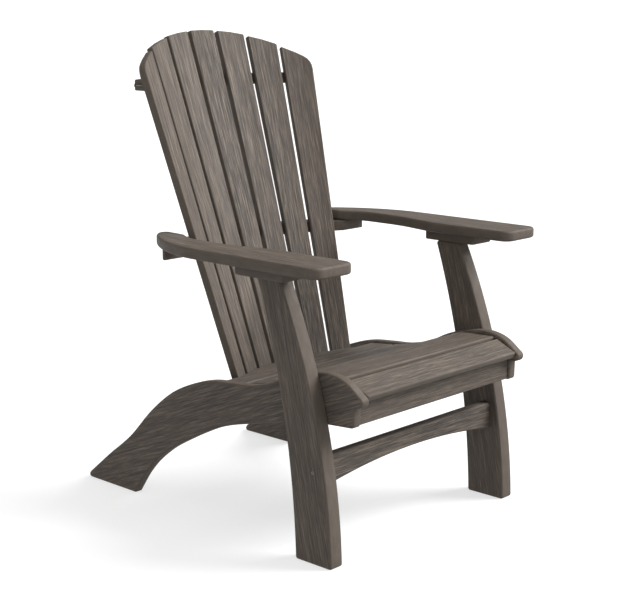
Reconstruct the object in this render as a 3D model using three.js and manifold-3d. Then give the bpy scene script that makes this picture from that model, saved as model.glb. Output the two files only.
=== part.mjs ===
// Fan-back adirondack chair in weathered wood-grain poly lumber.
// Millimetres, +Z up, front of the chair towards -Y, origin on the floor under its middle.
// The sitter's left is +X. Every board and every fastener is its own closed solid.

import * as THREE from 'three';
import { mergeVertices } from 'three/addons/utils/BufferGeometryUtils.js';
import Module from 'manifold-3d';

const wasm = await Module();
wasm.setup();

// ---- Driving dimensions --------------------------------------------------------------------

const GAP = 0.2;                 // clearance between boards that bear on each other
const BOARD = 25;                // stock of the side boards, arms, apron and stretcher
const LEG_STOCK = 38;            // stock of the front legs
const ROUND = 3;                 // rounding of the edges of the boards that run across

const LEG_OUTER_X = 330;         // outer face of a front leg
const LEG_INNER_X = LEG_OUTER_X - LEG_STOCK;
const SIDE_OUTER_X = LEG_INNER_X - GAP;
const SIDE_INNER_X = SIDE_OUTER_X - BOARD;

const ARM_UNDERSIDE = 643.6;
const PLATE_THICKNESS = 22;
const PLATE_UNDERSIDE = ARM_UNDERSIDE - GAP - PLATE_THICKNESS;
const LEG_TOP = PLATE_UNDERSIDE - GAP;

const FOOT_FRONT_Y = -415;       // toe of the front foot
const FOOT_REAR_Y = -308.5;      // heel of the front foot
const LEG_FRONT_RADIUS = 1525;   // both long edges of the leg sweep back in wide arcs
const LEG_FRONT_LEVEL = -45.8;   // height at which the front arc is upright
const LEG_REAR_RADIUS = 2083;
const LEG_REAR_LEVEL = -65;

const BACK_SLATS = 7;
const OUTERMOST = (BACK_SLATS - 1) / 2; // slats are counted from -OUTERMOST to OUTERMOST
const SLAT_THICKNESS = 18;
const SLAT_LOW_HALF_WIDTH = 26.2; // half width at the seat level
const SLAT_HIGH_HALF_WIDTH = 38.2; // half width at the head level
const SLAT_TAIL = 95;            // how far a slat runs on below the seat level
const SLAT_YAW = 9.35;           // turn in plan from one slat to the next, degrees
const SEAT_LEVEL = { z: 330, crownY: 57.7, radius: 391, pitch: 8.9 };
const HEAD_LEVEL = { z: 1045, crownY: 301.1, radius: 505, pitch: 9.8 };
const TOP_CROWN = 90.7;          // top of the middle slat above the head level, along the slat
const TOP_RADIUS = 580;          // the slat tops follow one arc
const TOP_PITCH = 88;            // spacing of the slats at their tops

const RAIL_THICKNESS = 26;
const RAIL_DEPTH = 50;           // behind the middle slat

// ---- Materials -----------------------------------------------------------------------------

const LUMBER_COLOUR = 0x665c52;
const STEEL_COLOUR = 0x4a4744;

function lumber() {
  return new THREE.MeshStandardMaterial({ color: LUMBER_COLOUR, roughness: 0.75, metalness: 0 });
}

function steel() {
  return new THREE.MeshStandardMaterial({ color: STEEL_COLOUR, roughness: 0.4, metalness: 0.9 });
}

// ---- Helpers -------------------------------------------------------------------------------

const chair = new THREE.Group();

function radians(degrees) {
  return THREE.MathUtils.degToRad(degrees);
}

function addMesh(name, geometry, material) {
  const mesh = new THREE.Mesh(geometry, material);
  mesh.name = name;
  chair.add(mesh);
  return mesh;
}

// A flat board: the outline lies in the local XY plane, the thickness runs along local Z from 0.
function boardGeometry(shape, thickness, curveSegments = 10) {
  return new THREE.ExtrudeGeometry(shape, { depth: thickness, bevelEnabled: false, curveSegments });
}

// Turns a mesh so that its local X and Y axes lie along the two given directions.
function orient(mesh, localX, localY) {
  const localZ = new THREE.Vector3().crossVectors(localX, localY);
  mesh.quaternion.setFromRotationMatrix(new THREE.Matrix4().makeBasis(localX, localY, localZ));
}

// A board whose outline is drawn in side view (Y, Z), with its lower X face at the given x.
function sideViewBoard(name, shape, x, thickness) {
  const mesh = addMesh(name, boardGeometry(shape, thickness), lumber());
  orient(mesh, new THREE.Vector3(0, 1, 0), new THREE.Vector3(0, 0, 1));
  mesh.position.x = x;
}

// A board whose outline is drawn from above (X, Y), with its underside at the given height.
function planViewBoard(name, shape, z, thickness) {
  const mesh = addMesh(name, boardGeometry(shape, thickness), lumber());
  mesh.position.z = z;
}

function eachSide(build) {
  for (const [side, label] of [[1, 'left'], [-1, 'right']]) {
    build(side, label);
  }
}

// Lower X face of a board that lies between inner and outer on the given side.
function lowerX(side, inner, outer) {
  return side > 0 ? inner : -outer;
}

// Goes to a corner and turns it with a curve that starts and ends at the given distance from it.
function roundCorner(shape, from, corner, to, radius) {
  const start = corner.clone().add(from.clone().sub(corner).setLength(radius));
  const end = corner.clone().add(to.clone().sub(corner).setLength(radius));
  shape.lineTo(start.x, start.y);
  shape.quadraticCurveTo(corner.x, corner.y, end.x, end.y);
}

function roundedRectangle(x0, y0, x1, y1, radius) {
  const corners = [[x0, y0], [x1, y0], [x1, y1], [x0, y1]].map(([x, y]) => new THREE.Vector2(x, y));
  const shape = new THREE.Shape();
  shape.moveTo((x0 + x1) / 2, y0);
  for (let i = 1; i <= corners.length; i += 1) {
    const from = corners[i - 1];
    const corner = corners[i % corners.length];
    const to = corners[(i + 1) % corners.length];
    roundCorner(shape, from, corner, to, radius);
  }
  return shape;
}

// Joins the vertices that faces share and drops the slivers that end on a turned axis.
function weld(geometry) {
  const bare = geometry.clone();
  bare.deleteAttribute('normal');
  bare.deleteAttribute('uv');
  const welded = mergeVertices(bare, 1e-4);
  const corners = welded.index.array;
  const faces = [];
  for (let i = 0; i < corners.length; i += 3) {
    const [a, b, c] = corners.slice(i, i + 3);
    if (a !== b && b !== c && c !== a) {
      faces.push(a, b, c);
    }
  }
  welded.setIndex(faces);
  return welded;
}

function toSolid(welded) {
  return new wasm.Manifold(new wasm.Mesh({
    numProp: 3,
    vertProperties: new Float32Array(welded.attributes.position.array),
    triVerts: new Uint32Array(welded.index.array),
  }));
}

function toGeometry(solid) {
  const mesh = solid.getMesh();
  const geometry = new THREE.BufferGeometry();
  geometry.setAttribute('position', new THREE.BufferAttribute(mesh.vertProperties, 3));
  geometry.setIndex(new THREE.BufferAttribute(mesh.triVerts, 1));
  geometry.computeVertexNormals();
  return geometry;
}

// ---- Side boards: seat side and rear leg in one --------------------------------------------

// All in side view (Y, Z). A pull is the control point of the curve round a corner.
const REAR_HEEL = [456, 0];
const REAR_HEEL_PULL = [467, 0];
const REAR_TIP = [467, 7];
const REAR_TIP_PULL = [467, 12];
const SIDE_TOP_EDGE = [
  [462, 16], [383, 80], [300, 144], [221, 222.2], [145, 281.5], [73, 317], [3, 338.5], [-67, 346.5],
  [-130, 352], [-194, 369.5], [-254, 398], [-306, 414], [-367, 422.5], [-418, 413], [-458, 386.5],
];
const NOSE_TOP_PULL = [-467, 381];
const NOSE_TIP = [-467, 375];
const NOSE_TIP_PULL = [-467, 363];
const NOSE_UNDER = [-455, 361.5];
const NOSE_NOTCH = [-444, 359];
const FRONT_CORNER_START = [-443, 323];
const FRONT_CORNER_PULL = [-443, 315];
const SIDE_ARCH = [
  [-435, 313.5], [-300, 301], [-161, 269], [-29, 232.5], [113, 162.5], [187, 113], [240, 62], [285, 0],
];

function points2(list) {
  return list.map(([x, y]) => new THREE.Vector2(x, y));
}

function sideBoardShape() {
  const shape = new THREE.Shape();
  shape.moveTo(...REAR_HEEL);
  shape.quadraticCurveTo(...REAR_HEEL_PULL, ...REAR_TIP);
  shape.quadraticCurveTo(...REAR_TIP_PULL, ...SIDE_TOP_EDGE[0]);
  shape.splineThru(points2(SIDE_TOP_EDGE.slice(1)));
  shape.quadraticCurveTo(...NOSE_TOP_PULL, ...NOSE_TIP);
  shape.quadraticCurveTo(...NOSE_TIP_PULL, ...NOSE_UNDER);
  shape.lineTo(...NOSE_NOTCH);
  shape.lineTo(...FRONT_CORNER_START);
  shape.quadraticCurveTo(...FRONT_CORNER_PULL, ...SIDE_ARCH[0]);
  shape.splineThru(points2(SIDE_ARCH.slice(1)));
  return shape;
}

function addSideBoards() {
  eachSide((side, label) => {
    const x = lowerX(side, SIDE_INNER_X, SIDE_OUTER_X);
    sideViewBoard(`side_board_${label}`, sideBoardShape(), x, BOARD);
  });
}

// ---- Front legs ----------------------------------------------------------------------------

// An upright arc of the given radius through (y, 0), upright at the given level, swept back.
function legEdge(y, radius, level) {
  const centreY = y + radius * Math.cos(Math.asin(-level / radius));
  const angleAt = (z) => Math.PI - Math.asin((z - level) / radius);
  return { centreY, level, radius, angleAt };
}

function legShape() {
  const front = legEdge(FOOT_FRONT_Y, LEG_FRONT_RADIUS, LEG_FRONT_LEVEL);
  const rear = legEdge(FOOT_REAR_Y, LEG_REAR_RADIUS, LEG_REAR_LEVEL);
  const shape = new THREE.Shape();
  shape.absarc(rear.centreY, rear.level, rear.radius, rear.angleAt(0), rear.angleAt(LEG_TOP), true);
  shape.absarc(front.centreY, front.level, front.radius, front.angleAt(LEG_TOP), front.angleAt(0), false);
  return shape;
}

function addFrontLegs() {
  eachSide((side, label) => {
    const x = lowerX(side, LEG_INNER_X, LEG_OUTER_X);
    sideViewBoard(`front_leg_${label}`, legShape(), x, LEG_STOCK);
  });
}

// ---- Arms and the plates that carry them ---------------------------------------------------

const ARM_OUTER_X = 391;
const ARM_INNER_X = 268;
const ARM_WAIST_X = 296;
const ARM_FRONT_Y = -427.5;
const ARM_CORNER = 30;
const ARM_STRAIGHT_END = [ARM_OUTER_X, -54.5];
// Curves from the end of the straight outer edge round the tail: two control points, then the end.
const ARM_TAIL = [
  [[ARM_OUTER_X, 25.5], [357, 100.5], [314, 153.5]],
  [[302, 168.5], [292, 176.5], [282, 176.5]],
  [[270, 176.5], [264, 169.5], [264, 158.5]],
];
const ARM_TAIL_INSIDE = [267, 108.5];
const ARM_WAIST_REAR = [[274, 91.5], [ARM_WAIST_X, 63.5], [ARM_WAIST_X, 25.5]];
const ARM_WAIST_END = [ARM_WAIST_X, -44.5];
const ARM_WAIST_FRONT = [[ARM_WAIST_X, -104.5], [ARM_INNER_X, -164.5], [ARM_INNER_X, -224.5]];
const PLATE_INNER_X = 290;
const PLATE_OUTER_X = 366;
const PLATE_FRONT_Y = -309;
const PLATE_REAR_Y = -159;
const PLATE_CORNER = 10;

// Broad at the front, waisted on the inside, and drawn in behind the elbow to a rounded end.
function armShape(side) {
  const shape = new THREE.Shape();
  const at = ([x, y]) => [side * x, y];
  const curve = (points) => shape.bezierCurveTo(...points.flatMap(at));
  shape.moveTo(...at([ARM_OUTER_X - ARM_CORNER, ARM_FRONT_Y]));
  shape.quadraticCurveTo(...at([ARM_OUTER_X, ARM_FRONT_Y]), ...at([ARM_OUTER_X, ARM_FRONT_Y + ARM_CORNER]));
  shape.lineTo(...at(ARM_STRAIGHT_END));
  ARM_TAIL.forEach(curve);
  shape.lineTo(...at(ARM_TAIL_INSIDE));
  curve(ARM_WAIST_REAR);
  shape.lineTo(...at(ARM_WAIST_END));
  curve(ARM_WAIST_FRONT);
  shape.lineTo(...at([ARM_INNER_X, ARM_FRONT_Y + ARM_CORNER]));
  shape.quadraticCurveTo(...at([ARM_INNER_X, ARM_FRONT_Y]), ...at([ARM_INNER_X + ARM_CORNER, ARM_FRONT_Y]));
  return shape;
}

function addArms() {
  eachSide((side, label) => {
    planViewBoard(`arm_${label}`, armShape(side), ARM_UNDERSIDE, BOARD);
  });
}

function addArmPlates() {
  eachSide((side, label) => {
    const x0 = lowerX(side, PLATE_INNER_X, PLATE_OUTER_X);
    const x1 = x0 + PLATE_OUTER_X - PLATE_INNER_X;
    const shape = roundedRectangle(x0, PLATE_FRONT_Y, x1, PLATE_REAR_Y, PLATE_CORNER);
    planViewBoard(`arm_plate_${label}`, shape, PLATE_UNDERSIDE, PLATE_THICKNESS);
  });
}

// ---- Seat ----------------------------------------------------------------------------------

// Top corners of each seat slat in side view, front then rear, following the side boards.
const SEAT_SLATS = [
  { front: [-462, 384], rear: [-405, 410.5] },
  { front: [-397.4, 414.5], rear: [-297, 410.5] },
  { front: [-292, 408.5], rear: [-197, 367] },
  { front: [-192, 365], rear: [-88, 344] },
  { front: [-83, 343.5], rear: [-9.5, 335.4] },
];
const SEAT_SLAT_THICKNESS = 16;
const BULGE_RADIUS = 389;        // the rearmost slat bulges to meet the fan of the back
const BULGE_CROWN = 129;         // its depth at the middle
const SLAT_END_X = SIDE_INNER_X - GAP;
const CROSS_SEGMENTS = 3;        // facets in a rounded edge of a board that runs across
const CLEAT_DEPTH = 30;
const APRON_FRONT_Y = -438;
const APRON_BOTTOM = 316;
const APRON_TOP = 375;

function addCrossBoard(name, shape, halfLength) {
  const mesh = addMesh(name, boardGeometry(shape, 2 * halfLength, CROSS_SEGMENTS), lumber());
  orient(mesh, new THREE.Vector3(0, 1, 0), new THREE.Vector3(0, 0, 1));
  mesh.position.x = -halfLength;
}

function slatRun({ front, rear }) {
  return new THREE.Vector2(rear[0] - front[0], rear[1] - front[1]);
}

function addStraightSlats() {
  SEAT_SLATS.slice(0, -1).forEach((slat, index) => {
    const run = slatRun(slat);
    const section = roundedRectangle(0, -SEAT_SLAT_THICKNESS, run.length(), 0, ROUND);
    const geometry = boardGeometry(section, 2 * SLAT_END_X, CROSS_SEGMENTS);
    const mesh = addMesh(`seat_slat_${index + 1}`, geometry, lumber());
    const along = new THREE.Vector3(0, run.x, run.y).normalize();
    const up = new THREE.Vector3(0, -run.y, run.x).normalize();
    orient(mesh, along, up);
    mesh.position.set(-SLAT_END_X, ...slat.front);
  });
}

// Seen from above, with the front edge on y = 0: shoulders at both ends, one arc between them.
function rearSlatShape(shoulder) {
  const centre = BULGE_CROWN - BULGE_RADIUS;
  const spread = Math.acos((shoulder - centre) / BULGE_RADIUS);
  const shape = new THREE.Shape();
  shape.moveTo(-SLAT_END_X, shoulder);
  shape.lineTo(-SLAT_END_X, 0);
  shape.lineTo(SLAT_END_X, 0);
  shape.lineTo(SLAT_END_X, shoulder);
  shape.absarc(0, centre, BULGE_RADIUS, Math.PI / 2 - spread, Math.PI / 2 + spread, false);
  return shape;
}

function addRearSlat() {
  const slat = SEAT_SLATS[SEAT_SLATS.length - 1];
  const run = slatRun(slat);
  const geometry = boardGeometry(rearSlatShape(run.length()), SEAT_SLAT_THICKNESS);
  const mesh = addMesh(`seat_slat_${SEAT_SLATS.length}`, geometry, lumber());
  const up = new THREE.Vector3(0, -run.y, run.x).normalize();
  orient(mesh, new THREE.Vector3(1, 0, 0), new THREE.Vector3(0, run.x, run.y).normalize());
  mesh.position.set(0, ...slat.front).addScaledVector(up, -SEAT_SLAT_THICKNESS);
}

// Lower corners of a seat slat, front then rear.
function slatUnderside(slat) {
  const run = slatRun(slat).normalize();
  const down = new THREE.Vector2(run.y, -run.x).multiplyScalar(SEAT_SLAT_THICKNESS + GAP);
  return points2([slat.front, slat.rear]).map((corner) => corner.add(down));
}

// The cleat inside each side board follows the undersides of the slats that it carries.
function cleatShape() {
  const corners = SEAT_SLATS.flatMap(slatUnderside);
  const apronRear = APRON_FRONT_Y + BOARD + GAP;
  const [noseFront, noseRear] = corners;
  const share = (apronRear - noseFront.x) / (noseRear.x - noseFront.x);
  const top = [noseFront.clone().lerp(noseRear, share), ...corners.slice(1)];
  const bottom = top.map((corner) => new THREE.Vector2(corner.x, corner.y - CLEAT_DEPTH)).reverse();
  return new THREE.Shape([...top, ...bottom]);
}

function addSeatCleats() {
  eachSide((side, label) => {
    const x = lowerX(side, SLAT_END_X - BOARD, SLAT_END_X);
    sideViewBoard(`seat_cleat_${label}`, cleatShape(), x, BOARD);
  });
}

function addApron() {
  const rear = APRON_FRONT_Y + BOARD;
  const shape = roundedRectangle(APRON_FRONT_Y, APRON_BOTTOM, rear, APRON_TOP, ROUND);
  addCrossBoard('apron', shape, SLAT_END_X);
}

// ---- Front stretcher, arched underneath -----------------------------------------------------

const STRETCHER_FRONT_Y = -372;
const STRETCHER_TOP = 240.5;
const STRETCHER_END_BOTTOM = 173.7;
const STRETCHER_ARCH = 24.5;
const STRETCHER_ARCH_SEGMENTS = 20;

function addFrontStretcher() {
  const half = LEG_INNER_X - GAP;
  const radius = (half * half + STRETCHER_ARCH * STRETCHER_ARCH) / (2 * STRETCHER_ARCH);
  const centreZ = STRETCHER_END_BOTTOM + STRETCHER_ARCH - radius;
  const spread = Math.asin(half / radius);
  const shape = new THREE.Shape();
  shape.moveTo(half, STRETCHER_TOP);
  shape.lineTo(-half, STRETCHER_TOP);
  shape.absarc(0, centreZ, radius, Math.PI / 2 + spread, Math.PI / 2 - spread, true);
  const mesh = addMesh('front_stretcher', boardGeometry(shape, BOARD, STRETCHER_ARCH_SEGMENTS), lumber());
  orient(mesh, new THREE.Vector3(1, 0, 0), new THREE.Vector3(0, 0, 1));
  mesh.position.y = STRETCHER_FRONT_Y + BOARD;
}

// ---- Back slats ----------------------------------------------------------------------------

function arcPoint(level, index) {
  const angle = radians(level.pitch * index);
  const y = level.crownY - level.radius * (1 - Math.cos(angle));
  return new THREE.Vector3(level.radius * Math.sin(angle), y, level.z);
}

// Frame of one slat: the middle of its front face, and its along, across and rearward directions.
function slatFrame(index) {
  const seat = arcPoint(SEAT_LEVEL, index);
  const head = arcPoint(HEAD_LEVEL, index);
  const along = head.clone().sub(seat);
  const length = along.length();
  along.normalize();
  const yaw = radians(SLAT_YAW * index);
  const across = new THREE.Vector3(Math.cos(yaw), -Math.sin(yaw), 0);
  across.addScaledVector(along, -across.dot(along)).normalize();
  const rearward = new THREE.Vector3().crossVectors(along, across);
  return { seat, head, along, across, rearward, length };
}

function slatHalfWidth(frame, v) {
  const share = v / frame.length;
  return SLAT_LOW_HALF_WIDTH + (SLAT_HIGH_HALF_WIDTH - SLAT_LOW_HALF_WIDTH) * share;
}

const SLAT_CORNER = 4;
const OUTER_SLAT_CORNER = 24;
const SLAT_CORNER_SEGMENTS = 4;

// Outline of a slat in its own plane, seen from behind: X across, Y along, 0 at the seat level.
function slatShape(frame, index) {
  const topAt = (u) => TOP_CROWN - TOP_RADIUS + Math.sqrt(TOP_RADIUS ** 2 - (TOP_PITCH * index + u) ** 2);
  const half = slatHalfWidth(frame, frame.length + TOP_CROWN);
  const low = slatHalfWidth(frame, -SLAT_TAIL);
  const corner = (side) => new THREE.Vector2(side * half, frame.length + topAt(side * half));
  const foot = (side) => new THREE.Vector2(side * low, -SLAT_TAIL);
  const middle = new THREE.Vector2(0, frame.length + topAt(0));
  const shape = new THREE.Shape();
  shape.moveTo(-low, -SLAT_TAIL);
  shape.lineTo(low, -SLAT_TAIL);
  for (const side of [1, -1]) {
    const radius = index * side === OUTERMOST ? OUTER_SLAT_CORNER : SLAT_CORNER;
    const towardsFoot = side > 0 ? foot(side) : middle;
    const towardsTop = side > 0 ? middle : foot(side);
    roundCorner(shape, towardsFoot, corner(side), towardsTop, radius);
    if (side > 0) {
      shape.lineTo(middle.x, middle.y);
    }
  }
  return shape;
}

function addBackSlats() {
  for (let index = -OUTERMOST; index <= OUTERMOST; index += 1) {
    const frame = slatFrame(index);
    const geometry = boardGeometry(slatShape(frame, index), SLAT_THICKNESS, SLAT_CORNER_SEGMENTS);
    const mesh = addMesh(`back_slat_${index + OUTERMOST + 1}`, geometry, lumber());
    orient(mesh, frame.across, frame.along);
    mesh.position.copy(frame.seat).addScaledVector(frame.rearward, SLAT_THICKNESS);
  }
}

// ---- Back rails ----------------------------------------------------------------------------

// Each rail lies level, with its underside at z. Its front edge is the bed of the slats, as far
// out as bedEndX; its rear edge is one arc, as far out as rearEndX; and horn gives the corners
// between the two, on the side of +X.
const REAR_ARC_POINTS = 20;
const LOWER_RAIL = {
  z: 250, rearRadius: 460, bedEndX: 206, rearEndX: SLAT_END_X, horn: [[212, -16], [SLAT_END_X, -16]],
};
const ARM_RAIL = {
  z: ARM_UNDERSIDE - GAP - RAIL_THICKNESS,
  rearRadius: 522, bedEndX: 256, rearEndX: 343, horn: [[268, 92], [343, 92]],
};
const TOP_RAIL = { z: 992.5, rearRadius: 501, bedEndX: 262, rearEndX: 262, horn: [] };

// The rear face of a slat cuts a level plane in the line  x * a + y * b = c.
function bedLine(index, z) {
  const frame = slatFrame(index);
  const bed = frame.seat.clone().addScaledVector(frame.rearward, SLAT_THICKNESS + GAP);
  const { x: a, y: b, z: rise } = frame.rearward;
  return { a, b, c: bed.dot(frame.rearward) - rise * z };
}

function bedPointAt(index, x, z) {
  const line = bedLine(index, z);
  return new THREE.Vector2(x, (line.c - line.a * x) / line.b);
}

// X of one long edge of a slat at a height, on its rear face.
function slatEdgeX(index, side, z) {
  const frame = slatFrame(index);
  const v = (z - SEAT_LEVEL.z) / frame.along.z;
  const edge = frame.seat.clone().addScaledVector(frame.along, v);
  edge.addScaledVector(frame.rearward, SLAT_THICKNESS);
  edge.addScaledVector(frame.across, side * slatHalfWidth(frame, v));
  return edge.x;
}

// Front edge of a rail at one height: a flat for every slat to bear on, with a small step in
// the gap between two slats.
function bedEdge(z, endX) {
  const points = [bedPointAt(-OUTERMOST, -endX, z)];
  for (let index = -OUTERMOST; index < OUTERMOST; index += 1) {
    const gapMiddle = (slatEdgeX(index, 1, z) + slatEdgeX(index + 1, -1, z)) / 2;
    points.push(bedPointAt(index, gapMiddle, z), bedPointAt(index + 1, gapMiddle, z));
  }
  points.push(bedPointAt(OUTERMOST, endX, z));
  return points;
}

// Centre of the arc of a rail's rear edge.
function rearCentreY(rail) {
  const middle = rail.z + RAIL_THICKNESS / 2;
  return bedPointAt(0, 0, middle).y + RAIL_DEPTH - rail.rearRadius;
}

// Rear edge of a rail: one arc from the +X end to the -X end.
function rearArc(rail) {
  const spread = Math.asin(rail.rearEndX / rail.rearRadius);
  const curve = new THREE.EllipseCurve(
    0, rearCentreY(rail), rail.rearRadius, rail.rearRadius,
    Math.PI / 2 - spread, Math.PI / 2 + spread, false, 0,
  );
  return curve.getPoints(REAR_ARC_POINTS);
}

// A level board whose outline differs slightly between its underside and its top.
function leaningPrism(lower, upper, thickness) {
  const shape = new THREE.Shape(lower);
  const geometry = new THREE.ExtrudeGeometry(shape, { depth: thickness, bevelEnabled: false });
  const position = geometry.attributes.position;
  for (let i = 0; i < position.count; i += 1) {
    if (position.getZ(i) > thickness / 2) {
      const here = new THREE.Vector2(position.getX(i), position.getY(i));
      const nearest = lower.findIndex((point) => point.distanceTo(here) < 1e-3);
      position.setXY(i, upper[nearest].x, upper[nearest].y);
    }
  }
  return geometry;
}

function addRail(name, rail) {
  const right = points2(rail.horn);
  const left = right.map(({ x, y }) => new THREE.Vector2(-x, y)).reverse();
  const outline = (z) => [...left, ...bedEdge(z, rail.bedEndX), ...right, ...rearArc(rail)];
  const geometry = leaningPrism(outline(rail.z), outline(rail.z + RAIL_THICKNESS), RAIL_THICKNESS);
  const mesh = addMesh(name, geometry, lumber());
  mesh.position.z = rail.z;
}

function addBackRails() {
  addRail('back_rail_lower', LOWER_RAIL);
  addRail('back_rail_arm', ARM_RAIL);
  addRail('back_rail_top', TOP_RAIL);
}

// ---- Fasteners -----------------------------------------------------------------------------

// The underside of the head lies at the depth of recess below the surface that it enters.
const SLAT_SCREW = { shank: 2.4, head: 4.6, headHeight: 3, recess: 8, sides: 8 };
const ARM_SCREW = { shank: 2.4, head: 4.6, headHeight: 3, length: 36, recess: 3.5, sides: 8 };
const LEG_BOLT = { shank: 4, head: 9, headHeight: 4, length: 54, recess: -2 * GAP, sides: 10 };
const STRETCHER_BOLT = { shank: 3.2, head: 4.8, headHeight: 4, length: 84, recess: 4.3, sides: 12 };
const HOLE_CLEARANCE = 0.3;
const POINT_LENGTH = 5;          // tapered point of a screw or bolt
const MOUTH_LENGTH = 12;         // how far a hole runs on above the head
const SLAT_SCREW_COVER = 6;      // lumber left in front of the point of a slat screw
const LEG_BOLTS = [[-348, 328], [-300, 336]];
const STRETCHER_BOLT_Z = 207.4;
const ARM_SCREW_X = 328;
const ARM_SCREWS_Y = [-294, -174];
const ARM_RAIL_SCREW = [292, 118];

// Turned profile about local Y: the underside of the head is at 0 and the shank runs down.
function fastenerGeometry({ shank, head, headHeight, length, sides }) {
  const profile = [
    [0, -length], [shank, -length + POINT_LENGTH], [shank, 0],
    [head, 0], [head, headHeight / 2], [head * 0.7, headHeight], [0, headHeight],
  ];
  return new THREE.LatheGeometry(points2(profile), sides);
}

// The hole that the fastener needs, open above the head.
function holeGeometry({ shank, head, headHeight, length, recess, sides }) {
  const bore = shank + HOLE_CLEARANCE;
  const pocket = head + 3 * HOLE_CLEARANCE;
  const mouth = Math.max(recess, headHeight) + MOUTH_LENGTH;
  const profile = [
    [0, -length - 1], [bore, -length - 1], [bore, -HOLE_CLEARANCE],
    [pocket, -HOLE_CLEARANCE], [pocket, mouth], [0, mouth],
  ];
  return new THREE.LatheGeometry(points2(profile), sides);
}

// Puts a fastener at a point of a surface, pointing in against the outward direction, and
// notes its hole for the pieces that it passes through.
const holesOf = new Map();

function addFastener(name, kind, surface, outward, pieces) {
  const mesh = addMesh(name, fastenerGeometry(kind), steel());
  mesh.quaternion.setFromUnitVectors(new THREE.Vector3(0, 1, 0), outward);
  mesh.position.copy(surface).addScaledVector(outward, -kind.recess);
  mesh.updateMatrix();
  for (const pieceName of pieces) {
    const piece = chair.getObjectByName(pieceName);
    piece.updateMatrix();
    const toPiece = piece.matrix.clone().invert().multiply(mesh.matrix);
    const hole = weld(holeGeometry(kind)).applyMatrix4(toPiece);
    holesOf.set(piece, [...(holesOf.get(piece) ?? []), hole]);
  }
}

function drillHoles() {
  for (const [piece, holes] of holesOf) {
    let solid = toSolid(weld(piece.geometry));
    for (const hole of holes) {
      solid = solid.subtract(toSolid(hole));
    }
    piece.geometry = toGeometry(solid);
  }
}

function addLegBolts() {
  eachSide((side, label) => {
    LEG_BOLTS.forEach(([y, z], index) => {
      const surface = new THREE.Vector3(side * SIDE_INNER_X, y, z);
      const inward = new THREE.Vector3(-side, 0, 0);
      addFastener(`leg_bolt_${label}_${index + 1}`, LEG_BOLT, surface, inward,
        [`side_board_${label}`, `front_leg_${label}`]);
    });
  });
}

function addStretcherBolts() {
  eachSide((side, label) => {
    const y = STRETCHER_FRONT_Y + BOARD / 2;
    const surface = new THREE.Vector3(side * LEG_OUTER_X, y, STRETCHER_BOLT_Z);
    addFastener(`stretcher_bolt_${label}`, STRETCHER_BOLT, surface, new THREE.Vector3(side, 0, 0),
      [`front_leg_${label}`, 'front_stretcher']);
  });
}

function addArmScrews() {
  const down = new THREE.Vector3(0, 0, -1);
  eachSide((side, label) => {
    ARM_SCREWS_Y.forEach((y, index) => {
      const surface = new THREE.Vector3(side * ARM_SCREW_X, y, PLATE_UNDERSIDE);
      addFastener(`arm_screw_${label}_${index + 1}`, ARM_SCREW, surface, down,
        [`arm_plate_${label}`, `arm_${label}`]);
    });
    const [x, y] = ARM_RAIL_SCREW;
    const surface = new THREE.Vector3(side * x, y, ARM_RAIL.z);
    addFastener(`arm_screw_${label}_3`, ARM_SCREW, surface, down, ['back_rail_arm', `arm_${label}`]);
  });
}

// Each slat is fixed from behind, level, through each rail.
function addSlatScrew(label, rail, index) {
  const z = rail.z + RAIL_THICKNESS / 2;
  const frame = slatFrame(index);
  const outward = new THREE.Vector3(frame.rearward.x, frame.rearward.y, 0).normalize();
  const middle = frame.seat.clone().addScaledVector(frame.along, (z - SEAT_LEVEL.z) / frame.along.z);
  const fromCentre = new THREE.Vector3(middle.x, middle.y - rearCentreY(rail), 0);
  const towards = fromCentre.dot(outward);
  const reach = -towards + Math.sqrt(towards ** 2 + rail.rearRadius ** 2 - fromCentre.lengthSq());
  const surface = middle.clone().addScaledVector(outward, reach);
  const kind = { ...SLAT_SCREW, length: reach - SLAT_SCREW.recess - SLAT_SCREW_COVER };
  const number = index + OUTERMOST + 1;
  addFastener(`slat_screw_${label}_${number}`, kind, surface, outward,
    [`back_rail_${label}`, `back_slat_${number}`]);
}

function addSlatScrews() {
  const rails = { lower: LOWER_RAIL, arm: ARM_RAIL, top: TOP_RAIL };
  for (const [label, rail] of Object.entries(rails)) {
    for (let index = -OUTERMOST; index <= OUTERMOST; index += 1) {
      addSlatScrew(label, rail, index);
    }
  }
}

// ---- Assembly ------------------------------------------------------------------------------

addSideBoards();
addFrontLegs();
addArms();
addArmPlates();
addStraightSlats();
addRearSlat();
addSeatCleats();
addApron();
addFrontStretcher();
addBackSlats();
addBackRails();
addLegBolts();
addStretcherBolts();
addArmScrews();
addSlatScrews();
drillHoles();

export default chair;
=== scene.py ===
"""The looks of a fan-back adirondack chair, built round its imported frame.

Every board of the frame is rebuilt as a rounded board from the outline of its own solid, and every
fastener as a turned screw or bolt with a drive recess. Metres, +Z up, the chair faces -Y.
"""

import math
import random

import bmesh
import bpy
from mathutils import Matrix, Vector
from mathutils.kdtree import KDTree


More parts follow.
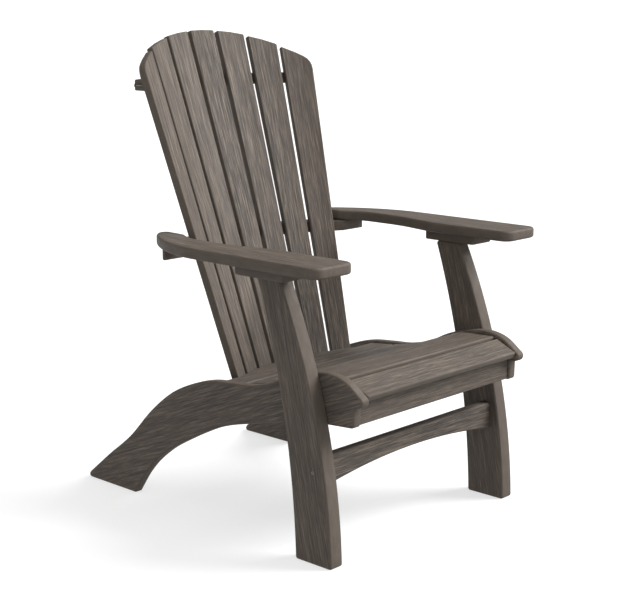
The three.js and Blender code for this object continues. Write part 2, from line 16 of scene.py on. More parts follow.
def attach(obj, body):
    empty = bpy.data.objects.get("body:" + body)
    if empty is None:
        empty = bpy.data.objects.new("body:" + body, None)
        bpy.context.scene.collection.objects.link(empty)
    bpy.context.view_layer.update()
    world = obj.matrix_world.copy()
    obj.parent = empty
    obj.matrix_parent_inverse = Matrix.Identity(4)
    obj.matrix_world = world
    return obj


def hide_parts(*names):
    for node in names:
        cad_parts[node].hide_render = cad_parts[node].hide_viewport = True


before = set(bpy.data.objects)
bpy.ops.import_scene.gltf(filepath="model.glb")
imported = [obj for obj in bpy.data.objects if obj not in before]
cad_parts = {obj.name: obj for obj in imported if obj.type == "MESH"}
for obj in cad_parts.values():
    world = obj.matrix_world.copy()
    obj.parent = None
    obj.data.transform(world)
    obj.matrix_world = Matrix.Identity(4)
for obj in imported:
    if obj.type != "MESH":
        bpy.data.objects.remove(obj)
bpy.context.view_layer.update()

# ---- Numbers that drive the looks ---------------------------------------------------------------

MM = 0.001
WELD = 0.002 * MM             # corners of the frame's meshes closer than this are one
FLAT = 0.01 * MM              # how far a corner of a flat face may lie off its plane

CAMERA_AZIMUTH = math.radians(-46.84)
CAMERA_ELEVATION = math.radians(11.73)
CAMERA_DISTANCE = 3.3668
CAMERA_TARGET = Vector((-0.0561, -0.117, 0.5104))
CAMERA_LENS = 81.26           # on a sensor 36 mm wide

# Brightness of the room from straight below (0) over the horizon (0.5) to straight above (1).
ROOM = ((0.0, 0.16), (0.40, 0.22), (0.48, 1.0), (0.56, 1.0), (0.66, 0.25), (1.0, 0.25))
ROOM_STRENGTH = 1.05

# name: (direction it comes from, angle it fills, strength)
LIGHTS = {
    "key": ((0.68, -0.48, 0.64), 36, 4.7),
    "top": ((-0.1, -0.3, 1.0), 80, 1.0),
    "fill": ((-1.0, -0.35, 0.25), 90, 0.35),
}

FLOOR_SIZE = 400
FLOOR_SHADE = 0.44
FLOOR_GLOW = 0.62

# Tones of the lumber from its darkest pores to its lightest fibres, by the sum of the grain layers.
LUMBER_TONES = (
    (0.37, (0.030, 0.027, 0.026)),
    (0.46, (0.064, 0.053, 0.046)),
    (0.53, (0.096, 0.078, 0.063)),
    (0.63, (0.190, 0.152, 0.116)),
)
LUMBER_TINT = (0.096, 0.074, 0.057, 1)   # warmer tone that whole stretches of board drift to
LUMBER_TINT_SHARE = 0.35
CORE_TONES = ((0.3, (0.084, 0.067, 0.053)), (0.7, (0.102, 0.082, 0.065)))
STEEL_TONES = ((0.3, (0.10, 0.095, 0.09)), (0.7, (0.20, 0.19, 0.18)))

# The grain layers, as waves per metre along, across and through the board.
WANDER_WAVES = (2.2, 9, 9)
BOARD_WAVES = (0.5, 3, 3)
BROAD_WAVES = (2.5, 48, 24)
STREAK_WAVES = (9, 230, 80)
HAIR_WAVES = (26, 640, 220)
CORE_WAVES = (30, 90, 90)
TURNING_WAVES = (2400, 300, 300)
BROAD_SHARE = 0.11
STREAK_SHARE = 0.43
HAIR_SHARE = 0.46
GRAIN_WANDER = 3 * MM         # how far the grain strays to either side

GRAIN_SHIFT = 9.0             # the grain pattern starts up to this far away from board to board
SIDE_BOARD_GRAIN = Vector((0, -0.93, 0.37))
FRONT_LEG_GRAIN = Vector((0, 0.22, 0.975))

# kind of board: (rounding of its long edges, softening of its outline's corners)
EDGES = {
    "side board": (5 * MM, 7 * MM),
    "front leg": (4 * MM, 6.5 * MM),
    "arm": (6 * MM, 8 * MM),
    "arm plate": (3 * MM, 6 * MM),
    "seat slat": (4 * MM, 5.5 * MM),
    "apron": (3 * MM, 4.5 * MM),
    "cleat": (1.5 * MM, 3 * MM),
    "stretcher": (4 * MM, 5.5 * MM),
    "back slat": (3 * MM, 5 * MM),
    "back rail": (3 * MM, 9 * MM),
}

ROUND_STEPS = 5               # facets in the rounding of an edge
HOLDING = 1.2 * MM            # flat band inside a rounding that keeps the face's shading flat
CORNER_TURN = math.radians(24)
CORNER_STEPS = 5              # facets in a softened corner of an outline
CORNER_SHARE = 0.45           # share of a side that one softened corner may use up
INSET_SHARE = 0.85            # share of an outline's own radius that a rounding may use up
INSET_SLOPE = 0.4             # how fast the rounding widens again beside a tight corner
INSET_TURN = 0.02             # a point that turns less than this doesn't limit the rounding
MITER_FLOOR = 0.3             # keeps the miter of a hairpin corner short
BORED_SHARP = math.radians(40)

TURNED_SIDES = 48
TURNED_SHARP = math.radians(50)
POCKET_CLEARANCE = 0.6 * MM   # round the head of a sunk fastener
POCKET_LENGTH = 16 * MM
HEAD_STEPS = 4                # facets in the rounding of a head
HEAD_EDGE = 0.9 * MM
HEAD_DOME = 0.45              # share of its radius that a domed head draws in
HEAD_SEEN = 0.98              # a ring at least this share of the head's radius belongs to the head
SHANK_SEEN = 0.6              # and one below this share belongs to the shank
THREAD_PITCH = 1.6 * MM
THREAD_END = 0.7              # share of the shank that is threaded
THREAD_TAPER = 4              # crests that the point of a thread takes
THREAD_ROOT = 0.74            # radius between the crests, as a share of the shank's
THREAD_FLANK = 0.32           # from a crest to the root beside it, as a share of the pitch
NECK_START = 0.72             # where the plain part under the head starts, as a share of the shank
NECK_SHARE = 0.82             # radius of the plain part under the head, as a share of the shank's
RECESS_LOBES = 6
RECESS_SHARE = 0.40           # mean radius of the drive recess, as a share of the head's
RECESS_WAVE = 0.07
RECESS_TAPER = 0.86
RECESS_DEPTH = 0.45           # share of the head's height

UP = Vector((0, 0, 1))
ACROSS = Vector((1, 0, 0))
DEEP = Vector((0, 1, 0))

SIDES = ("left", "right")
BACK_SLATS = range(1, 8)
SLAT_TOP_BAND = 40 * MM
SLAT_FOOT_CORNERS = 4
STRAIGHT_SEAT_SLATS = range(1, 5)
REAR_SEAT_SLAT = 5
PLATE_SCREWS = (1, 2)
RAIL_SCREW = 3

scene = bpy.context.scene


# ---- Camera, light and floor --------------------------------------------------------------------


def add_camera():
    """The camera that sees the chair from its front right quarter."""
    level = math.cos(CAMERA_ELEVATION)
    back = Vector((
        math.sin(CAMERA_AZIMUTH) * level,
        -math.cos(CAMERA_AZIMUTH) * level,
        math.sin(CAMERA_ELEVATION),
    ))
    data = bpy.data.cameras.new("camera")
    data.lens = CAMERA_LENS
    data.sensor_width = 36
    camera = bpy.data.objects.new("camera", data)
    camera.location = CAMERA_TARGET + back * CAMERA_DISTANCE
    camera.rotation_euler = back.to_track_quat("Z", "Y").to_euler()
    scene.collection.objects.link(camera)
    scene.camera = camera


def add_broad_light(name, towards, spread, strength):
    """A light without falloff that comes from the given direction."""
    data = bpy.data.lights.new(name, "SUN")
    data.angle = math.radians(spread)
    data.energy = strength
    light = bpy.data.objects.new(name, data)
    light.rotation_euler = Vector(towards).to_track_quat("Z", "Y").to_euler()
    scene.collection.objects.link(light)


def add_world():
    """A room that is white along the horizon and darker overhead and underneath."""
    world = bpy.data.worlds.new("studio")
    world.use_nodes = True
    nodes = world.node_tree.nodes
    links = world.node_tree.links
    direction = nodes.new("ShaderNodeTexCoord")
    split = nodes.new("ShaderNodeSeparateXYZ")
    height = nodes.new("ShaderNodeMapRange")
    height.inputs["From Min"].default_value = -1
    height.inputs["From Max"].default_value = 1
    wall = nodes.new("ShaderNodeValToRGB")
    while len(wall.color_ramp.elements) < len(ROOM):
        wall.color_ramp.elements.new(0.5)
    for element, (place, brightness) in zip(wall.color_ramp.elements, ROOM):
        element.position = place
        element.color = (brightness, brightness, brightness, 1)
    background = nodes["Background"]
    background.inputs["Strength"].default_value = ROOM_STRENGTH
    links.new(direction.outputs["Generated"], split.inputs[0])
    links.new(split.outputs["Z"], height.inputs["Value"])
    links.new(height.outputs["Result"], wall.inputs["Fac"])
    links.new(wall.outputs["Color"], background.inputs["Color"])
    scene.world = world


def add_floor(size, reflecting, glowing):
    """A pale floor that glows a little, as a lit studio floor does, so that shadows stay light."""
    mesh = bpy.data.meshes.new("floor")
    half = size / 2
    corners = [(-half, -half, 0), (half, -half, 0), (half, half, 0), (-half, half, 0)]
    mesh.from_pydata(corners, [], [(0, 1, 2, 3)])
    floor = bpy.data.objects.new("floor", mesh)
    scene.collection.objects.link(floor)
    material = bpy.data.materials.new("floor")
    material.use_nodes = True
    shader = material.node_tree.nodes["Principled BSDF"]
    shader.inputs["Base Color"].default_value = (reflecting, reflecting, reflecting, 1)
    shader.inputs["Emission Color"].default_value = (1, 1, 1, 1)
    shader.inputs["Emission Strength"].default_value = glowing
    shader.inputs["Roughness"].default_value = 0.9
    shader.inputs["Specular IOR Level"].default_value = 0.1
    mesh.materials.append(material)
    floor.visible_diffuse = False


def add_studio():
    scene.view_settings.view_transform = "Standard"
    add_world()
    for name, (towards, spread, strength) in LIGHTS.items():
        add_broad_light(name, towards, spread, strength)
    add_floor(FLOOR_SIZE, FLOOR_SHADE, FLOOR_GLOW)


# ---- Small node helpers -------------------------------------------------------------------------


class Nodes:
    """Adds nodes to one material and links them."""

    def __init__(self, name):
        self.material = bpy.data.materials.new(name)
        self.material.use_nodes = True
        self.tree = self.material.node_tree
        self.shader = self.tree.nodes["Principled BSDF"]

    def plug(self, socket, value):
        if isinstance(value, bpy.types.NodeSocket):
            self.tree.links.new(value, socket)
        else:
            socket.default_value = value

    def attribute(self, name, output):
        node = self.tree.nodes.new("ShaderNodeAttribute")
        node.attribute_name = name
        return node.outputs[output]

    def math(self, operation, first, second):
        node = self.tree.nodes.new("ShaderNodeMath")
        node.operation = operation
        self.plug(node.inputs[0], first)
        self.plug(node.inputs[1], second)
        return node.outputs[0]

    def stretched(self, vector, scale):
        node = self.tree.nodes.new("ShaderNodeVectorMath")
        node.operation = "MULTIPLY"
        self.plug(node.inputs[0], vector)
        node.inputs[1].default_value = scale
        return node.outputs[0]

    def shifted(self, vector, offset):
        node = self.tree.nodes.new("ShaderNodeVectorMath")
        node.operation = "ADD"
        self.plug(node.inputs[0], vector)
        self.plug(node.inputs[1], offset)
        return node.outputs[0]

    def noise(self, vector, detail, roughness=0.5):
        node = self.tree.nodes.new("ShaderNodeTexNoise")
        self.plug(node.inputs["Vector"], vector)
        node.inputs["Scale"].default_value = 1
        node.inputs["Detail"].default_value = detail
        node.inputs["Roughness"].default_value = roughness
        return node.outputs["Fac"]

    def ramp(self, factor, stops):
        node = self.tree.nodes.new("ShaderNodeValToRGB")
        elements = node.color_ramp.elements
        while len(elements) < len(stops):
            elements.new(0.5)
        for element, (place, colour) in zip(elements, stops):
            element.position = place
            element.color = (*colour, 1)
        self.plug(node.inputs["Fac"], factor)
        return node.outputs["Color"]

    def spread(self, value, low, high, out_low=0.0, out_high=1.0):
        node = self.tree.nodes.new("ShaderNodeMapRange")
        self.plug(node.inputs["Value"], value)
        node.inputs["From Min"].default_value = low
        node.inputs["From Max"].default_value = high
        node.inputs["To Min"].default_value = out_low
        node.inputs["To Max"].default_value = out_high
        return node.outputs["Result"]

    def mix(self, factor, first, second):
        node = self.tree.nodes.new("ShaderNodeMix")
        node.data_type = "RGBA"
        self.plug(node.inputs["Factor"], factor)
        self.plug(node.inputs["A"], first)
        self.plug(node.inputs["B"], second)
        return node.outputs["Result"]

    def bump(self, height, strength, distance):
        node = self.tree.nodes.new("ShaderNodeBump")
        node.inputs["Strength"].default_value = strength
        node.inputs["Distance"].default_value = distance
        self.plug(node.inputs["Height"], height)
        return node.outputs["Normal"]


# ---- Materials ----------------------------------------------------------------------------------


def lumber_material():
    """Poly lumber: brushed wood grain on the broad faces, plain smooth core where it was machined.

    The attribute "grain" holds the place in the board (along, across, through), and "face" is 1 on
    a broad face and falls to 0 over the rounding.
    """
    n = Nodes("weathered_lumber")
    grain = n.attribute("grain", "Vector")
    face = n.attribute("face", "Fac")

    wander = n.noise(n.stretched(grain, WANDER_WAVES), 1.0)
    drift = n.tree.nodes.new("ShaderNodeCombineXYZ")
    n.plug(drift.inputs["Y"], n.spread(wander, 0, 1, -GRAIN_WANDER, GRAIN_WANDER))
    bent = n.shifted(grain, drift.outputs[0])

    board = n.noise(n.stretched(grain, BOARD_WAVES), 0.0)
    broad = n.noise(n.stretched(bent, BROAD_WAVES), 2.0, 0.55)
    streak = n.noise(n.stretched(bent, STREAK_WAVES), 3.0, 0.62)
    hair = n.noise(n.stretched(bent, HAIR_WAVES), 2.0, 0.6)

    broad_part = n.math("MULTIPLY", broad, BROAD_SHARE)
    streak_part = n.math("MULTIPLY", streak, STREAK_SHARE)
    hair_part = n.math("MULTIPLY", hair, HAIR_SHARE)
    tone = n.math("ADD", n.math("ADD", broad_part, streak_part), hair_part)
    colour = n.ramp(tone, LUMBER_TONES)
    tinted = n.mix(n.spread(board, 0.35, 0.65, 0.0, LUMBER_TINT_SHARE), colour, LUMBER_TINT)

    mottle = n.noise(n.stretched(grain, CORE_WAVES), 2.0)
    core = n.ramp(mottle, CORE_TONES)
    n.plug(n.shader.inputs["Base Color"], n.mix(face, core, tinted))

    n.plug(n.shader.inputs["Roughness"], n.spread(streak, 0.3, 0.7, 0.78, 0.58))
    n.shader.inputs["Specular IOR Level"].default_value = 0.3

    height = n.math("ADD", n.math("MULTIPLY", hair, 0.6), n.math("MULTIPLY", streak, 0.9))
    height = n.math("MULTIPLY", height, n.spread(face, 0, 1, 0.12, 1.0))
    n.plug(n.shader.inputs["Normal"], n.bump(height, 0.55, 0.9 * MM))
    return n.material


def hardware_material():
    """Dark coated stainless steel with faint turning marks."""
    n = Nodes("coated_steel")
    grain = n.attribute("grain", "Vector")
    n.shader.inputs["Metallic"].default_value = 0.9
    marks = n.noise(n.stretched(grain, TURNING_WAVES), 2.0)
    n.plug(n.shader.inputs["Base Color"], n.ramp(marks, STEEL_TONES))
    n.plug(n.shader.inputs["Roughness"], n.spread(marks, 0.3, 0.7, 0.32, 0.5))
    n.plug(n.shader.inputs["Normal"], n.bump(marks, 0.2, 0.1 * MM))
    return n.material


# ---- Outlines of the frame's boards ---------------------------------------------------------------


def welded(node):
    """The mesh of a node of the frame, with its corners joined."""
    mesh = bmesh.new()
    mesh.from_mesh(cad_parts[node].data)
    bmesh.ops.remove_doubles(mesh, verts=mesh.verts, dist=WELD)
    return mesh


def broadest_normal(mesh):
    """Direction of the flat faces that have the largest area together."""
    areas = {}
    largest = {}
    for face in mesh.faces:
        key = tuple(round(c, 2) for c in face.normal)
        areas[key] = areas.get(key, 0) + face.calc_area()
        if key not in largest or face.calc_area() > largest[key].calc_area():
            largest[key] = face
    return largest[max(areas, key=areas.get)].normal.copy()


def loops_of(edges):
    """Chains loose edges into closed loops of points."""
    neighbours = {}
    for edge in edges:
        a, b = edge.verts
        neighbours.setdefault(a, []).append(b)
        neighbours.setdefault(b, []).append(a)
    loops = []
    while neighbours:
        start = next(iter(neighbours))
        loop = [start]
        previous, here = None, start
        while True:
            options = [v for v in neighbours[here] if v is not previous]
            previous, here = here, options[0]
            if here is start:
                break
            loop.append(here)
        for vertex in loop:
            neighbours.pop(vertex, None)
        loops.append([vertex.co.copy() for vertex in loop])
    return loops


def area(points):
    """Area inside a closed outline, negative where it runs clockwise."""
    total = 0
    for (x0, y0), (x1, y1) in zip(points, points[1:] + points[:1]):
        total += x0 * y1 - x1 * y0
    return total / 2


class Board:
    """A board's own directions: u along the grain, v across it, w through the board."""

    def __init__(self, node, through=None, along=ACROSS):
        self.node = node
        self.mesh = welded(node)
        self.w = (through or broadest_normal(self.mesh)).normalized()
        self.u = (along - self.w * along.dot(self.w)).normalized()
        self.v = self.w.cross(self.u)
        heights = [vertex.co.dot(self.w) for vertex in self.mesh.verts]
        self.low = min(heights)
        self.high = max(heights)

    def flat(self, point):
        return Vector((point.dot(self.u), point.dot(self.v)))

    def place(self, flat, height):
        return self.u * flat.x + self.v * flat.y + self.w * height

    def outline(self, height):
        """Outer outline of the flat face at a height, counter-clockwise about w."""
        cap = set()
        for face in self.mesh.faces:
            if all(abs(vertex.co.dot(self.w) - height) < FLAT for vertex in face.verts):
                cap.add(face)
        edges = [e for e in self.mesh.edges if sum(f in cap for f in e.link_faces) == 1]
        loops = [[self.flat(point) for point in loop] for loop in loops_of(edges)]
        outer = max(loops, key=lambda loop: abs(area(loop)))
        return outer if area(outer) > 0 else outer[::-1]

    def rectangle(self):
        """The rectangle that the board fills, for a straight board."""
        flats = [self.flat(vertex.co) for vertex in self.mesh.verts]
        x0 = min(flat.x for flat in flats)
        x1 = max(flat.x for flat in flats)
        y0 = min(flat.y for flat in flats)
        y1 = max(flat.y for flat in flats)
        return [Vector((x0, y0)), Vector((x1, y0)), Vector((x1, y1)), Vector((x0, y1))]


def turn_at(points, i):
    """How far a closed outline turns at a point, positive where it bulges out."""
    before = points[i] - points[i - 1]
    after = points[(i + 1) % len(points)] - points[i]
    return -before.angle_signed(after)


def soften_corners(points, radius, sharp):
    """Replaces each sharp corner of a closed outline by an arc."""
    softened = []
    for i, corner in enumerate(points):
        if i not in sharp:
            softened.append(corner)
            continue
        before = points[i - 1] - corner
        after = points[(i + 1) % len(points)] - corner
        turn = abs(turn_at(points, i))
        room = CORNER_SHARE * min(before.length, after.length)
        reach = min(radius * math.tan(turn / 2), room)
        bisector = (before.normalized() + after.normalized()).normalized()
        centre = corner + bisector * reach / math.sin(turn / 2)
        first = corner + before.normalized() * reach - centre
        last = corner + after.normalized() * reach - centre
        sweep = first.angle_signed(last)
        for step in range(CORNER_STEPS + 1):
            spoke = first.copy()
            spoke.rotate(Matrix.Rotation(-sweep * step / CORNER_STEPS, 2))
            softened.append(centre + spoke)
    return softened


def inset_limits(points):
    """How far each point can move inwards before the outline would fold over itself."""
    count = len(points)
    steps = [(points[i] - points[i - 1]).length for i in range(count)]
    limits = []
    for i in range(count):
        turn = turn_at(points, i)
        reach = (steps[i] + steps[(i + 1) % count]) / 2
        limits.append(INSET_SHARE * reach / turn if turn > INSET_TURN else math.inf)
    for _ in range(2):
        for i in range(count):
            limits[i] = min(limits[i], limits[i - 1] + INSET_SLOPE * steps[i])
        for i in reversed(range(count)):
            after = (i + 1) % count
            limits[i] = min(limits[i], limits[after] + INSET_SLOPE * steps[after])
    return limits


def inset(points, distance):
    """Moves each point of a counter-clockwise outline inwards."""
    moved = []
    count = len(points)
    limits = inset_limits(points)
    for i, point in enumerate(points):
        before = (point - points[i - 1]).normalized()
        after = (points[(i + 1) % count] - point).normalized()
        first = Vector((before.y, -before.x))
        second = Vector((after.y, -after.x))
        miter = (first + second) / max(MITER_FLOOR, 1 + first.dot(second))
        moved.append(point - miter * min(distance, limits[i]))
    return moved


def rounding_profile(radius):
    """(inset, height, face) from the middle of a face to the start of the straight edge."""
    profile = [(radius + HOLDING, 0.0, 1.0)]
    for step in range(ROUND_STEPS + 1):
        angle = math.pi / 2 * step / ROUND_STEPS
        face = max(0.0, 1 - 2 * step / ROUND_STEPS)
        profile.append((radius * (1 - math.sin(angle)), radius * (1 - math.cos(angle)), face))
    return profile


# ---- Building a piece -----------------------------------------------------------------------------


def add_piece(name, mesh, material, node):
    """Puts a finished mesh in the scene in place of a node of the frame."""
    piece = bpy.data.objects.new(name, mesh)
    scene.collection.objects.link(piece)
    mesh.materials.append(material)
    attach(piece, "root")
    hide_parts(node)
    return piece


def set_places(mesh, places):
    """Writes where each point lies in its piece."""
    attribute = mesh.attributes.new("grain", "FLOAT_VECTOR", "POINT")
    attribute.data.foreach_set("vector", [c for place in places for c in place])


def set_face_shares(mesh, shares):
    """Writes how far each point belongs to a broad face."""
    attribute = mesh.attributes.new("face", "FLOAT", "POINT")
    attribute.data.foreach_set("value", shares)


def bands(first, count, rings):
    """Faces between neighbouring rings of points, numbered on from the first one."""
    polygons = []
    for ring in range(rings - 1):
        low = first + ring * count
        for i in range(count):
            j = (i + 1) % count
            polygons.append([low + i, low + j, low + count + j, low + count + i])
    return polygons


def board_mesh(board, lower, upper, radius):
    """A closed mesh with every edge rounded, between a lower and an upper outline.

    Gives the mesh and, for each of its points, how far it belongs to a broad face.
    """
    thickness = board.high - board.low
    rings = []
    for distance, height, face in rounding_profile(radius):
        rings.append((distance, height, face))
    for distance, height, face in reversed(rounding_profile(radius)):
        rings.append((distance, thickness - height, face))
    points = []
    face_shares = []
    for distance, height, face in rings:
        share = height / thickness
        for below, above in zip(inset(lower, distance), inset(upper, distance)):
            points.append(board.place(below.lerp(above, share), board.low + height))
            face_shares.append(face)
    count = len(lower)
    polygons = [list(range(count))[::-1]]
    polygons += bands(0, count, len(rings))
    polygons.append([(len(rings) - 1) * count + i for i in range(count)])
    mesh = bpy.data.meshes.new(board.node)
    mesh.from_pydata(points, [], polygons)
    return mesh, face_shares


def bored(mesh, holes):
    """The mesh with the holes cut out of it."""
    cutters = bmesh.new()
    for turned in holes:
        bmesh.ops.create_cone(
            cutters,
            cap_ends=True,
            segments=TURNED_SIDES,
            radius1=turned.pocket,
            radius2=turned.pocket,
            depth=POCKET_LENGTH,
            matrix=turned.pocket_place(),
        )
    cutter_mesh = bpy.data.meshes.new("cutters")
    cutters.to_mesh(cutter_mesh)
    board = bpy.data.objects.new("uncut", mesh)
    cutter = bpy.data.objects.new("cutter", cutter_mesh)
    scene.collection.objects.link(board)
    scene.collection.objects.link(cutter)
    cut = board.modifiers.new("holes", "BOOLEAN")
    cut.operation = "DIFFERENCE"
    cut.solver = "EXACT"
    cut.object = cutter
    graph = bpy.context.evaluated_depsgraph_get()
    drilled = bpy.data.meshes.new_from_object(board.evaluated_get(graph))
    bpy.data.objects.remove(board)
    bpy.data.objects.remove(cutter)
    return drilled


def describe(mesh, board, originals, face_shares):
    """Writes where each point lies in the board, and how far it belongs to a broad face."""
    tree = KDTree(len(originals))
    for i, point in enumerate(originals):
        tree.insert(point, i)
    tree.balance()
    dice = random.Random(board.node)
    shift = Vector([dice.uniform(0, GRAIN_SHIFT) for _ in range(3)])
    places = []
    shares = []
    for vertex in mesh.vertices:
        height = vertex.co.dot(board.w)
        flat = board.flat(vertex.co)
        places.append(shift + Vector((flat.x, flat.y, height)))
        _, nearest, distance = tree.find(vertex.co)
        on_face = min(abs(height - board.low), abs(height - board.high)) < FLAT
        shares.append(face_shares[nearest] if distance < FLAT else float(on_face))
    set_places(mesh, places)
    set_face_shares(mesh, shares)


def add_board(board, kind, outline, lumber, upper=None, holes=()):
    """Adds a rounded board. upper is the outline of its upper face where that differs."""
    radius, corner = EDGES[kind]
    upper = upper or outline
    sharp = {i for i in range(len(outline)) if abs(turn_at(outline, i)) > CORNER_TURN}
    lower = soften_corners(outline, corner, sharp)
    mesh, face_shares = board_mesh(board, lower, soften_corners(upper, corner, sharp), radius)
    originals = [vertex.co.copy() for vertex in mesh.vertices]
    if holes:
        mesh = bored(mesh, holes)
    describe(mesh, board, originals, face_shares)
    mesh.shade_smooth()
    if holes:
        mesh.set_sharp_from_angle(angle=BORED_SHARP)
    return add_piece(board.node + "_board", mesh, lumber, board.node)


# ---- The chair's boards ---------------------------------------------------------------------------


def add_side_boards(lumber):
    for side in SIDES:
        board = Board(f"side_board_{side}", ACROSS, SIDE_BOARD_GRAIN)
        add_board(board, "side board", board.outline(board.high), lumber)


def add_front_legs(lumber):
    for side in SIDES:
        board = Board(f"front_leg_{side}", ACROSS, FRONT_LEG_GRAIN)
        bolt = Turned(f"stretcher_bolt_{side}")
        add_board(board, "front leg", board.outline(board.high), lumber, holes=[bolt])


def add_arms(lumber):
    for side in SIDES:
        arm = Board(f"arm_{side}", UP, DEEP)
        add_board(arm, "arm", arm.outline(arm.high), lumber)
        plate = Board(f"arm_plate_{side}", UP, DEEP)
        screws = [Turned(f"arm_screw_{side}_{number}") for number in PLATE_SCREWS]
        add_board(plate, "arm plate", plate.outline(plate.high), lumber, holes=screws)


def add_seat(lumber):
    for number in STRAIGHT_SEAT_SLATS:
        slat = Board(f"seat_slat_{number}")
        add_board(slat, "seat slat", slat.rectangle(), lumber)
    slat = Board(f"seat_slat_{REAR_SEAT_SLAT}")
    add_board(slat, "seat slat", slat.outline(slat.high), lumber)
    apron = Board("apron", DEEP)
    add_board(apron, "apron", apron.rectangle(), lumber)
    for side in SIDES:
        cleat = Board(f"seat_cleat_{side}", ACROSS, DEEP)
        add_board(cleat, "cleat", cleat.outline(cleat.high), lumber)


def add_stretcher(lumber):
    board = Board("front_stretcher", DEEP)
    add_board(board, "stretcher", board.outline(board.high), lumber)


def foot_to_top(node):
    """Direction of a back slat, from the middle of its foot to the middle of its top."""
    points = [vertex.co.copy() for vertex in welded(node).verts]
    points.sort(key=lambda point: point.z)
    foot = points[:SLAT_FOOT_CORNERS]
    top = [point for point in points if point.z > points[-1].z - SLAT_TOP_BAND]
    return sum(top, Vector()) / len(top) - sum(foot, Vector()) / len(foot)


def add_back_slats(lumber):
    for number in BACK_SLATS:
        node = f"back_slat_{number}"
        board = Board(node, None, foot_to_top(node))
        add_board(board, "back slat", board.outline(board.high), lumber)


def add_back_rails(lumber):
    for level in ("lower", "arm", "top"):
        rail = Board(f"back_rail_{level}", UP)
        lower = rail.outline(rail.low)
        upper = rail.outline(rail.high)
        start = min(range(len(upper)), key=lambda i: (upper[i] - lower[0]).length)
        screws = [Turned(f"slat_screw_{level}_{number}") for number in BACK_SLATS]
        if level == "arm":
            screws += [Turned(f"arm_screw_{side}_{RAIL_SCREW}") for side in SIDES]
        upper = upper[start:] + upper[:start]
        add_board(rail, "back rail", lower, lumber, upper, screws)


# ---- Fasteners ------------------------------------------------------------------------------------


class Turned:
    """Reads the axis and the sizes of a turned fastener from its node."""

    def __init__(self, node):
        self.node = node
        mesh = welded(node)
        points = [vertex.co.copy() for vertex in mesh.verts]
        middle = sum(points, Vector()) / len(points)
        self.tip = max(points, key=lambda point: (point - middle).length)
        self.axis = (middle - self.tip).normalized()
        heights = [(point - self.tip).dot(self.axis) for point in points]
        radii = [((point - self.tip) - self.axis * h).length for point, h in zip(points, heights)]
        rings = list(zip(heights, radii))
        self.length = max(heights)
        self.head = max(radii)
        self.seat = min(height for height, radius in rings if radius > self.head * HEAD_SEEN)
        below_head = self.seat - MM / 10
        thin = self.head * SHANK_SEEN
        self.shank = max(radius for height, radius in rings if height < below_head or radius < thin)

    def place(self, points):
        turn = UP.rotation_difference(self.axis).to_matrix()
        return [self.tip + turn @ point for point in points]

    @property
    def pocket(self):
        """Radius of the hole that the head is sunk in."""
        return self.head + POCKET_CLEARANCE

    def pocket_place(self):
        """Where the middle of that hole lies, turned along the fastener."""
        middle = self.tip + self.axis * (self.seat - MM / 10 + POCKET_LENGTH / 2)
        return Matrix.Translation(middle) @ UP.rotation_difference(self.axis).to_matrix().to_4x4()


def thread_profile(shank, length, pitch):
    """Rings of a thread from the point up to the plain part under the head."""
    profile = [(0.0, 0.0)]
    crests = int(length / pitch)
    for crest in range(1, crests):
        taper = min(1.0, crest / THREAD_TAPER)
        profile.append((shank * taper * THREAD_ROOT, (crest - THREAD_FLANK) * pitch))
        profile.append((shank * taper, crest * pitch))
        profile.append((shank * taper * THREAD_ROOT, (crest + THREAD_FLANK) * pitch))
    return profile


def drive_radius(head, angle):
    """Outline of a six-lobed drive recess."""
    return head * (RECESS_SHARE + RECESS_WAVE * math.cos(RECESS_LOBES * angle))


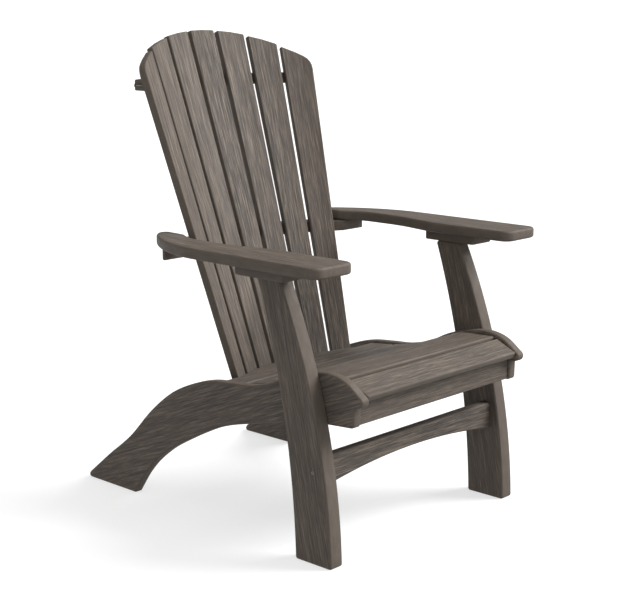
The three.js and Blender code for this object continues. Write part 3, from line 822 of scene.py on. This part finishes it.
def head_profile(turned, domed, edge):
    """Rings of a head from its seat to its top, domed or flat with a rounded edge."""
    head = turned.head
    side = turned.seat + edge / 2
    profile = [(head - edge / 2, turned.seat), (head, side)]
    rise = turned.length - turned.seat - edge / 2
    for step in range(1, HEAD_STEPS + 1):
        angle = math.pi / 2 * step / HEAD_STEPS
        drawn_in = 1 - math.cos(angle)
        if domed:
            profile.append((head * (1 - HEAD_DOME * drawn_in), side + rise * math.sin(angle)))
        else:
            profile.append((head - edge * drawn_in, turned.length - edge * (1 - math.sin(angle))))
    return profile


def fastener_mesh(turned, domed):
    """A turned screw or bolt, with a thread, a rounded head and a six-lobed recess."""
    head_height = turned.length - turned.seat
    edge = min(HEAD_EDGE, head_height / 3)
    neck = turned.shank * NECK_SHARE
    profile = thread_profile(turned.shank, turned.seat * THREAD_END, THREAD_PITCH)
    profile += [(neck, turned.seat * NECK_START), (neck, turned.seat)]
    profile += head_profile(turned, domed, edge)
    angles = [2 * math.pi * i / TURNED_SIDES for i in range(TURNED_SIDES)]
    rings = [[ring] * TURNED_SIDES for ring in profile[1:]]
    rim = [(drive_radius(turned.head, angle), turned.length) for angle in angles]
    floor = [(radius * RECESS_TAPER, turned.length - RECESS_DEPTH * head_height) for radius, _ in rim]
    rings += [rim, floor]
    points = [Vector((0, 0, profile[0][1]))]
    for ring in rings:
        for (radius, height), angle in zip(ring, angles):
            points.append(Vector((radius * math.cos(angle), radius * math.sin(angle), height)))
    polygons = []
    for i in range(TURNED_SIDES):
        polygons.append([0, 1 + (i + 1) % TURNED_SIDES, 1 + i])
    polygons += bands(1, TURNED_SIDES, len(rings))
    polygons.append([1 + (len(rings) - 1) * TURNED_SIDES + i for i in range(TURNED_SIDES)])
    mesh = bpy.data.meshes.new(turned.node)
    mesh.from_pydata(turned.place(points), [], polygons)
    set_places(mesh, points)
    mesh.shade_smooth()
    mesh.set_sharp_from_angle(angle=TURNED_SHARP)
    return mesh


def add_fasteners(hardware):
    for node in sorted(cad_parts):
        if "_screw_" in node or "_bolt_" in node:
            mesh = fastener_mesh(Turned(node), node.startswith("leg_bolt"))
            add_piece(node + "_steel", mesh, hardware, node)


# ---- Assembly -------------------------------------------------------------------------------------


def build():
    add_camera()
    add_studio()
    lumber = lumber_material()
    hardware = hardware_material()
    add_side_boards(lumber)
    add_front_legs(lumber)
    add_arms(lumber)
    add_seat(lumber)
    add_stretcher(lumber)
    add_back_slats(lumber)
    add_back_rails(lumber)
    add_fasteners(hardware)


build()
